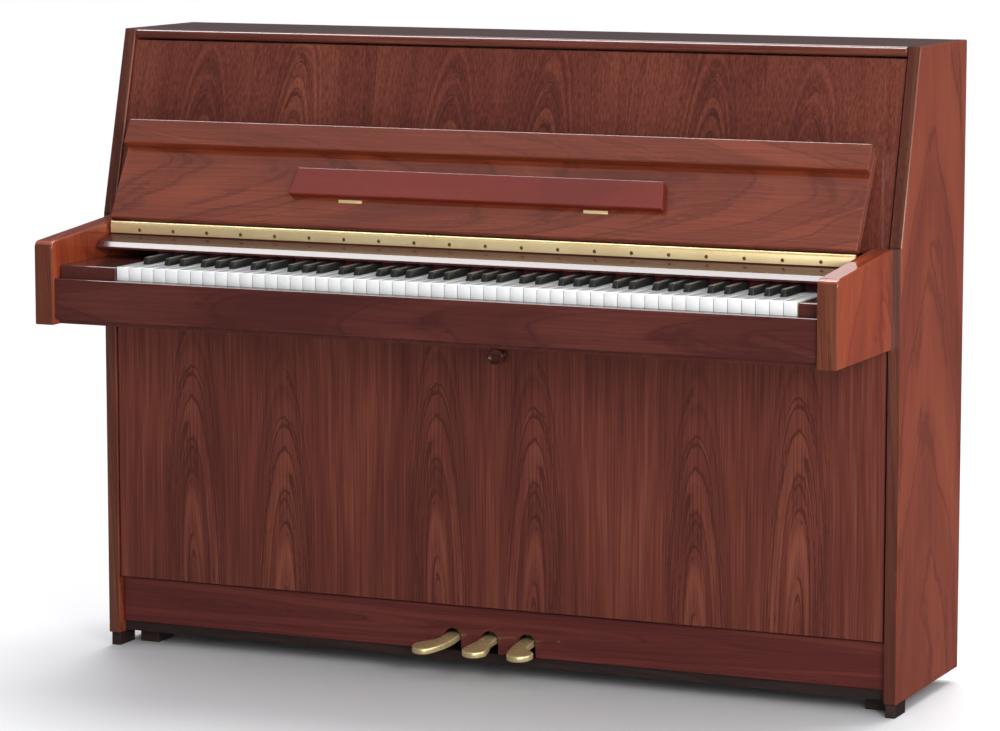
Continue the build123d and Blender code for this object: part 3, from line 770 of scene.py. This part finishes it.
    @staticmethod
    def merged(name: str, node: str) -> Piece:
        """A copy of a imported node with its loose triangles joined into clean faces."""
        copy = Bench.link(name, frame["nodes"][node].data.copy())
        copy.data.name = name
        with Bench.edit(copy):
            bpy.ops.mesh.select_all(action="SELECT")
            bpy.ops.mesh.remove_doubles(threshold=WELD)
            bpy.ops.mesh.dissolve_limited(angle_limit=math.radians(0.4))
            bpy.ops.mesh.customdata_custom_splitnormals_clear()
        return copy

    @staticmethod
    def copied(piece: Piece, name: str, moves: list[Matrix]) -> Piece:
        """A piece repeated at several places and joined, in place of the first one.

        Args:
            piece: the shape to repeat, which is removed.
            name: what the joined piece is called.
            moves: where each copy goes.

        Returns:
            The joined piece.
        """
        copies = []
        for move in moves:
            copy = Bench.link(name, piece.data.copy())
            copy.data.transform(move)
            copies.append(copy)
        bpy.data.objects.remove(piece)
        return Bench.joined(name, *copies)

    @staticmethod
    def joined(name: str, *pieces: Piece) -> Piece:
        """Several meshes as one piece."""
        Bench.hold(*pieces)
        if len(pieces) > 1:
            bpy.ops.object.join()
        pieces[0].name = pieces[0].data.name = name
        return pieces[0]

    @staticmethod
    def dress(piece: Piece, finish: bpy.types.Material) -> Piece:
        """Gives a new piece its one finish."""
        piece.data.materials.clear()
        piece.data.materials.append(finish)
        return piece

    @staticmethod
    def fit(piece: Piece, body: str, slot: str, *nodes: str) -> Piece:
        """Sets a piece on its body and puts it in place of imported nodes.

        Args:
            piece: the finished piece.
            body: the body that it moves with.
            slot: the record's material slot, which is not used.
            nodes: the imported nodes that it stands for.

        Returns:
            The same piece.
        """
        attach(piece, body)
        if nodes:
            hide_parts(*nodes)
        LOG.info("%s on %s, %d faces", piece.name, body, len(piece.data.polygons))
        return piece


# ---- the instrument ----


@dataclass
class Casework:
    """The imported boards, which keep their shape and get their finish."""

    by_node: dict[str, str] = field(default_factory=lambda: {
        "side_panel_left": "side_veneer", "side_panel_right": "side_veneer",
        "upper_panel": "upper_veneer", "lower_panel": "lower_veneer",
        "arm_left": "arm_veneer", "arm_right": "arm_veneer", "name_rail": "rail_veneer",
        "keybed": "block_stain", "key_block_left": "block_stain", "key_block_right": "block_stain",
        "toe_rail": "toe_veneer", "top_lid": "lid_veneer", "lid_rear_rail": "lid_veneer",
        "back_frame": "beam_wood", "soundboard": "spruce", "soundboard_ribs": "spruce",
        "treble_strings": "string_steel", "bass_strings": "string_copper",
    })
    by_slot: dict[str, str] = field(default_factory=lambda: {
        "veneer_upright": "lower_veneer", "veneer_level": "level_veneer",
        "fallboard_veneer": "fallboard_veneer", "ledge_stain": "ledge_stain",
        "dark_board": "dark_board", "frame_wood": "frame_wood", "spruce": "spruce",
        "red_felt": "red_felt", "white_felt": "white_felt", "brass": "brass", "steel": "steel",
        "copper": "string_copper", "plate_iron": "plate_iron", "white_key": "white_key",
        "black_key": "black_key",
    })

    def dress(self, finishes: Finishes) -> None:
        """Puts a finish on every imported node.

        Args:
            finishes: the finishes made for this piano.
        """
        slots = {row["node"]: row["material_slot"] for row in frame["record"]["subparts"]}
        for name, node in frame["nodes"].items():
            finish = finishes[self.by_node.get(name, self.by_slot[slots[name]])]
            if not node.material_slots:
                node.data.materials.append(finish)
            for slot in node.material_slots:
                slot.material = finish
        LOG.info("finishes on %d packed nodes", len(frame["nodes"]))


@dataclass
class Brasswork:
    """The hinges, their screws and the pedals, drawn in full in place of their packed blanks."""

    finishes: Finishes
    knuckle: float = 12.7 * MM
    gap: float = 0.25 * MM
    plate: float = 1.6 * MM
    pin: float = 0.62
    long_radius: float = 3.0 * MM
    lid_radius: float = 2.4 * MM
    screws: int = 20
    slot_turn: float = 2.1
    slot_half: float = 0.45 * MM
    lean: float = 30.0
    pedal_round: float = 2.2 * MM
    pedal_axle: tuple[float, float] = (90.0 * MM, 6.0 * MM)

    def build(self) -> None:
        """Makes every piece."""
        self.build_long_hinge("fallboard_hinge", self.long_radius, True)
        self.build_long_hinge("lid_hinge", self.lid_radius, False)
        self.build_screws()
        self.build_butt_hinges()
        for side in ("left", "middle", "right"):
            self.build_pedal(f"pedal_{side}")

    def barrel(self, name: str, start: Vector, length: float, radius: float, count: int) -> Piece:
        """A row of knuckles on a pin, running along X.

        Args:
            name: what it is called.
            start: the middle of its low end.
            length: its length.
            radius: the knuckles' radius.
            count: how many knuckles there are.

        Returns:
            The piece.
        """
        pitch = length / count
        first = start + Vector((self.gap, 0.0, 0.0))
        knuckle = Bench.rod("knuckle", first, start + Vector((pitch - self.gap, 0.0, 0.0)), radius, 14)
        Bench.ease(knuckle, 0.3 * MM, 1, 60.0)
        displace = (pitch, 0.0, 0.0)
        Bench.modify(
            knuckle, "ARRAY", count=count, use_relative_offset=False, use_constant_offset=True,
            constant_offset_displace=displace,
        )
        pin = Bench.rod("pin", first, start + Vector((length - self.gap, 0.0, 0.0)), radius * self.pin, 10)
        Bench.smooth(pin)
        return Bench.joined(name, knuckle, pin)

    def build_long_hinge(self, node: str, radius: float, leaf_in_front: bool) -> None:
        """A long hinge: one leaf flat on its rail, and the knuckles along the leaf's edge.

        Args:
            node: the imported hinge.
            radius: the knuckles' radius.
            leaf_in_front: whether the leaf is on the player's side of the knuckles.
        """
        low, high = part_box(node)
        axis = Vector((low.x, high.y - radius if leaf_in_front else low.y + radius, high.z - radius))
        face = low.y if leaf_in_front else high.y - self.plate
        top = axis.z - (radius / 2 if leaf_in_front else 0.0)
        leaf = Bench.box("leaf", (low.x, face, low.z), (high.x, face + self.plate, top))
        Bench.ease(leaf, 0.4 * MM)
        length = high.x - low.x
        barrel = self.barrel("barrel", axis, length, radius, round(length / self.knuckle))
        hinge = Bench.joined(f"{node}_barrel", leaf, barrel)
        Bench.fit(Bench.dress(hinge, self.finishes["brass"]), "cabinet", "brass", node)

    def build_screws(self) -> None:
        """Slotted screws along the fallboard's hinge, each turned its own way."""
        low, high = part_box("hinge_screws")
        radius, proud = (high.z - low.z) / 2, high.y - low.y
        profile = [(0.0, 0.0), (radius, 0.0), (radius, 0.3 * proud), (0.86 * radius, 0.75 * proud),
                   (0.5 * radius, 0.96 * proud), (0.0, proud)]
        screw = Bench.turned("screw", profile, 20)
        corner = Vector((2 * radius, self.slot_half, 2 * proud))
        groove = Bench.box("groove", (-corner.x, -corner.y, 0.25 * proud), corner)
        Bench.modify(screw, "BOOLEAN", object=groove, operation="DIFFERENCE", solver="EXACT")
        bpy.data.objects.remove(groove)
        pitch = (high.x - low.x - 2 * radius) / (self.screws - 1)
        moves = []
        for number in range(self.screws):
            place = Matrix.Translation((low.x + radius + number * pitch, high.y, (low.z + high.z) / 2))
            moves.append(place @ UPRIGHT @ Matrix.Rotation(number * self.slot_turn, 4, "Z"))
        screws = Bench.smooth(Bench.copied(screw, "slotted_screws", moves))
        Bench.fit(Bench.dress(screws, self.finishes["screw_brass"]), "cabinet", "brass", "hinge_screws")

    def build_butt_hinges(self) -> None:
        """Two small five-knuckle hinges under the music ledge, made flat and then leant back."""
        low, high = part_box("ledge_hinges")
        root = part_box("fallboard_hinge")[1] - Vector((0.0, self.long_radius, self.long_radius))
        wide, radius, height, off = 44.0 * MM, 1.8 * MM, 55.4 * MM, 9.65 * MM
        pieces = []
        for x in (low.x, high.x - wide):
            pieces.append(self.barrel("butt", Vector((x, -off, height)), wide, radius, 5))
            leaf = Bench.box("butt_leaf", (x, -8.75 * MM, 51.8 * MM), (x + wide, -7.75 * MM, 55.8 * MM))
            pieces.append(Bench.ease(leaf, 0.25 * MM))
        hinges = Bench.joined("butt_hinges", *pieces)
        lean = Matrix.Rotation(math.radians(-self.lean), 4, "X")
        place = Matrix.Translation((0.0, root.y, root.z))
        hinges = Bench.copied(hinges, "butt_hinges", [place @ lean])
        Bench.fit(Bench.dress(hinges, self.finishes["brass"]), "fallboard", "brass", "ledge_hinges")

    def build_pedal(self, node: str) -> None:
        """A cast pedal with every edge rounded over, apart from the hole for its pin.

        Args:
            node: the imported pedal, which has the same name as its body.
        """
        pedal = Bench.merged(f"{node}_cast", node)
        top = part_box(node)[1]
        along, below = self.pedal_axle
        pivot = Vector((0.0, along, top.z - below))
        Bench.round_over(pedal, self.pedal_round, 3, lambda at: (at - pivot).yz.length > 8.0 * MM)
        Bench.fit(Bench.dress(pedal, self.finishes["pedal_brass"]), node, "brass", node)


@dataclass
class Trim:
    """The turned knob, the felt strip behind the keys and the pads that the fallboard leans on."""

    finishes: Finishes
    strip_cuts: int = 120
    nap: float = 0.12 * MM
    pad_spread: float = 640.0 * MM
    pad_place: tuple[float, float] = (0.44 * MM, 892.0 * MM)
    pad_way: Triple = (0.0, -0.966, 0.258)

    def build(self) -> None:
        """Makes every piece."""
        self.build_knob()
        self.build_felt_strip()
        self.build_pads()

    def build_knob(self) -> None:
        """A turned wooden knob with a raised rim round a dished face."""
        low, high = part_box("panel_knob")
        profile = [(0.0, 0.0), (12.4, 0.0), (11.2, 1.2), (10.2, 3.2), (11.0, 5.0), (13.6, 6.2), (14.8, 7.8),
                   (15.0, 10.0), (15.0, 14.6), (14.7, 16.6), (14.0, 17.9), (13.1, 18.6), (12.3, 18.7),
                   (11.5, 18.2), (10.4, 17.2), (6.0, 16.8), (0.0, 16.7)]
        knob = Bench.turned("knob", [(r * MM, h * MM) for r, h in profile], 44)
        place = Matrix.Translation(((low.x + high.x) / 2, high.y, (low.z + high.z) / 2))
        knob = Bench.copied(knob, "turned_knob", [place @ UPRIGHT])
        Bench.smooth(knob, 60.0)
        Bench.dress(knob, self.finishes["level_veneer"])
        Bench.fit(knob, "lower_panel", "veneer_level", "panel_knob")

    def build_felt_strip(self) -> None:
        """A strip of red felt behind the keys, soft at its edges and slightly uneven."""
        strip = Bench.box("felt_strip", *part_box("name_rail_felt"))
        Bench.ease(strip, 1.0 * MM)
        with Bench.edit(strip):
            mesh = bmesh.from_edit_mesh(strip.data)
            long_edges = [edge for edge in mesh.edges if edge.calc_length() > 0.5]
            bmesh.ops.subdivide_edges(
                mesh, edges=long_edges, cuts=self.strip_cuts, use_grid_fill=True
            )
            bmesh.update_edit_mesh(strip.data)
            bpy.ops.mesh.select_all(action="SELECT")
            bpy.ops.transform.vertex_random(offset=self.nap, seed=4)
        Bench.fit(Bench.dress(strip, self.finishes["red_felt"]), "cabinet", "red_felt", "name_rail_felt")

    def build_pads(self) -> None:
        """Two round felt pads on the upper panel, where the open fallboard comes to rest."""
        profile = [(0.0, 0.0), (7.0, 0.0), (7.0, 4.0), (6.2, 5.0), (6.2, 15.5), (5.4, 18.0), (3.4, 19.0),
                   (0.0, 19.1)]
        pad = Bench.turned("pad", [(r * MM, h * MM) for r, h in profile], 20)
        lean = Vector(self.pad_way).to_track_quat("Z", "Y").to_matrix().to_4x4()
        ends = (-self.pad_spread, self.pad_spread)
        moves = [Matrix.Translation((x, *self.pad_place)) @ lean for x in ends]
        pads = Bench.smooth(Bench.copied(pad, "rest_pads", moves), 50.0)
        Bench.fit(Bench.dress(pads, self.finishes["red_felt"]), "cabinet", "red_felt")


@dataclass
class Keyboard:
    """The keys, with their edges eased."""

    finishes: Finishes
    white_ease: float = 0.5 * MM
    black_ease: float = 1.1 * MM

    def build(self) -> None:
        """Makes every key, each on the body that it moves with."""
        for node in frame["nodes"]:
            if node in ("white_keys", "black_keys"):
                self.build_key(node, "cabinet", node == "black_keys")
            elif node.startswith("key_") and node in frame["bodies"]:
                self.build_key(node, node, node.endswith("_sharp"))

    def build_key(self, node: str, body: str, black: bool) -> None:
        """Copies a packed key or group of keys and rounds its edges.

        Args:
            node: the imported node.
            body: the body that it moves with.
            black: whether it is a black key.
        """
        key = Bench.ease(Bench.merged(f"{node}_eased", node), self.black_ease if black else self.white_ease)
        finish = "black_key" if black else "white_key"
        Bench.fit(Bench.dress(key, self.finishes[finish]), body, finish, node)


@dataclass
class Action:
    """The hammers and dampers behind the upper panel."""

    finishes: Finishes
    notes: int = 88
    damped: int = 68

    def build(self) -> None:
        """Makes the repeated pieces at every note's place."""
        low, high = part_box("hammers")
        wide = 8.0 * MM
        pitch = (high.x - low.x - wide) / (self.notes - 1)
        places = [Matrix.Translation((low.x + wide / 2 + n * pitch, 0.0, 0.0)) for n in range(self.notes)]
        head = [(158.0, 927.0), (156.6, 932.4), (152.2, 936.6), (146.0, 937.9), (137.0, 936.0), (128.5, 932.4),
                (128.5, 921.8), (137.0, 918.0), (146.0, 916.1), (152.2, 917.4), (156.6, 921.6)]
        felts = [self.cut(head, wide, 1.3 * MM)]
        self.repeat("hammer_felts", felts, places, "white_felt", "white_felt", "hammers")
        moulding = [(96.0, 917.5), (128.0, 922.5), (135.0, 926.0), (135.0, 928.5), (128.0, 931.8),
                    (96.0, 935.5)]
        shank = Bench.rod("shank", (0.0, 0.106, 0.8195), (0.0, 0.106, 0.920), 2.6 * MM, 8)
        wood = [self.cut(moulding, 6.5 * MM, 0.5 * MM), Bench.smooth(shank)]
        self.repeat("hammer_woods", wood, places, "spruce", "frame_wood", "hammers")
        block = [(158.0, 838.0), (163.0, 835.2), (170.0, 838.5), (170.0, 868.5), (163.0, 871.8),
                 (158.0, 869.0)]
        felts = [self.cut(block, 9.0 * MM, 1.1 * MM)]
        self.repeat("damper_felts", felts, places[: self.damped], "white_felt", "white_felt", "dampers")
        holder = [(151.5, 843.0), (158.0, 841.0), (158.0, 866.0), (151.5, 864.0)]
        wire = Bench.rod("wire", (0.0, 0.154, 0.770), (0.0, 0.154, 0.850), 1.0 * MM, 6)
        wires = [self.cut(holder, 6.0 * MM, 0.4 * MM), Bench.smooth(wire)]
        self.repeat("damper_wires", wires, places[: self.damped], "steel", "steel", "dampers")

    @staticmethod
    def cut(outline: list[tuple[float, float]], thick: float, soften: float) -> Piece:
        """A small block cut to an outline in millimetres, with its edges softened."""
        return Bench.ease(Bench.slab("cut", [(y * MM, z * MM) for y, z in outline], thick), soften)

    def repeat(
        self, name: str, pieces: list[Piece], places: list[Matrix], finish: str, slot: str, node: str
    ) -> None:
        """Sets one note's pieces at every note, as one finished piece.

        Args:
            name: what the piece is called.
            pieces: one note's shapes, which are used up.
            places: where each note is.
            finish: the finish they get.
            slot: the record's material slot.
            node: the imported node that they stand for.
        """
        row = Bench.copied(Bench.joined("one", *pieces), name, places)
        Bench.fit(Bench.dress(row, self.finishes[finish]), "cabinet", slot, node)


@dataclass
class Studio:
    """A pale floor, soft banks of light on three sides, a narrow light overhead and the camera."""

    eye: Triple = (2.740, -6.116, 1.457)
    turn: float = 0.4194
    tilt: float = 0.1356
    lens: float = 142.5
    sensor: float = 36.0
    floor_size: float = 160.0
    nose: Triple = (0.0, 4.5 * MM, 8.0 * MM)
    strip: tuple[float, float] = (2.0, 0.7)
    strip_power: float = 80.0
    strip_way: Triple = (-0.3735, -0.069, 0.913)
    strip_far: float = 2.3
    bank_place: Triple = (2.6, -2.7, 1.5)
    bank_aim: Triple = (0.1, 0.0, 0.55)
    bank_size: float = 1.3
    bank_power: float = 72.0

    def build(self) -> None:
        """Makes the floor, the world, the lights and the camera."""
        self.build_floor()
        self.build_world()
        self.add_sun("back_bank", (0.0, 0.62, 1.0), 50.0, 2.9)
        self.add_sun("front_fill", (0.35, -1.0, 0.22), 40.0, 0.95)
        self.add_sun("side_bank", (1.0, -0.15, 0.30), 34.0, 0.8)
        self.add_bank()
        self.add_strip()
        self.build_camera()

    def build_floor(self) -> None:
        """A large pale floor with a faint gloss."""
        Bench.hold()
        bpy.ops.mesh.primitive_plane_add(size=self.floor_size, location=(0.0, 0.0, 0.0))
        floor = bpy.context.object
        floor.name = "studio_floor"
        made = bpy.data.materials.new("studio_floor")
        graph = Graph(made)
        mottle = graph.noise(graph.place(), 2.0, 2.0)
        graph.surface(
            Base_Color=graph.mix(mottle, (0.79, 0.79, 0.80), (0.81, 0.81, 0.82)),
            Roughness=0.42 + mottle * 0.05,
        )
        Bench.dress(floor, made)
        floor.visible_glossy = False

    def build_world(self) -> None:
        """Light from all round, brighter from above, in front of a white backdrop."""
        world = bpy.data.worlds.new("studio_air")
        bpy.context.scene.world = world
        graph = Graph(world)
        up = graph.along(graph.node("ShaderNodeTexCoord").outputs["Generated"], (0.0, 0.0, 1.0))
        glow = graph.mix(up.step(0.40, 0.96), (0.09, 0.09, 0.095), (0.95, 0.96, 1.0))
        seen = graph.node("ShaderNodeLightPath").outputs["Is Camera Ray"]
        light = graph.node("ShaderNodeBackground", None, {"Color": graph.mix(seen, glow, (1.0, 1.0, 1.0))})
        graph.node("ShaderNodeOutputWorld", None, {"Surface": light.outputs[0]})

    def add_sun(self, name: str, source: Triple, spread: float, strength: float) -> None:
        """A wide, soft, distant light.

        Args:
            name: the light's name.
            source: the direction it comes from.
            spread: how wide it is, in degrees.
            strength: its strength.
        """
        data = bpy.data.lights.new(name, "SUN")
        data.angle = math.radians(spread)
        data.energy = strength
        lamp = Bench.link(name, data)
        lamp.rotation_euler = Vector(source).to_track_quat("Z", "Y").to_euler()

    def add_strip(self) -> None:
        """A long narrow light overhead, which draws bright lines along the polished edges."""
        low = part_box("name_rail")[0]
        nose = Vector((0.0, low.y, low.z)) + Vector(self.nose)
        data = bpy.data.lights.new("edge_strip", "AREA")
        data.shape = "RECTANGLE"
        data.size, data.size_y = self.strip
        data.energy = self.strip_power
        lamp = Bench.link("edge_strip", data)
        lamp.visible_diffuse = False
        away = Vector(self.strip_way).normalized()
        lamp.location = nose + away * self.strip_far
        lamp.rotation_euler = (math.asin(-away.y), 0.0, 0.0)

    def add_bank(self) -> None:
        """A square soft light at the front right, which is stronger on the nearer end of the piano."""
        data = bpy.data.lights.new("front_bank", "AREA")
        data.size = self.bank_size
        data.energy = self.bank_power
        lamp = Bench.link("front_bank", data)
        lamp.location = self.bank_place
        away = Vector(self.bank_place) - Vector(self.bank_aim)
        lamp.rotation_euler = away.to_track_quat("Z", "Y").to_euler()

    def build_camera(self) -> None:
        """A long lens at standing height, to the right of the piano."""
        data = bpy.data.cameras.new("studio_camera")
        data.lens = self.lens
        data.sensor_width = self.sensor
        data.clip_end = 2 * self.floor_size
        camera = Bench.link("studio_camera", data)
        camera.location = self.eye
        camera.rotation_euler = (math.pi / 2 - self.tilt, 0.0, self.turn)
        bpy.context.scene.camera = camera
        bpy.context.scene.view_settings.view_transform = "Standard"


def main() -> None:
    """Dresses the casework, adds the detailed pieces and lights the studio."""
    logging.basicConfig(level=logging.INFO, format="%(message)s", stream=sys.stdout)
    finishes = Finishes()
    Casework().dress(finishes)
    for group in (Brasswork(finishes), Trim(finishes), Keyboard(finishes), Action(finishes), Studio()):
        group.build()


if __name__ == "__main__":
    main()
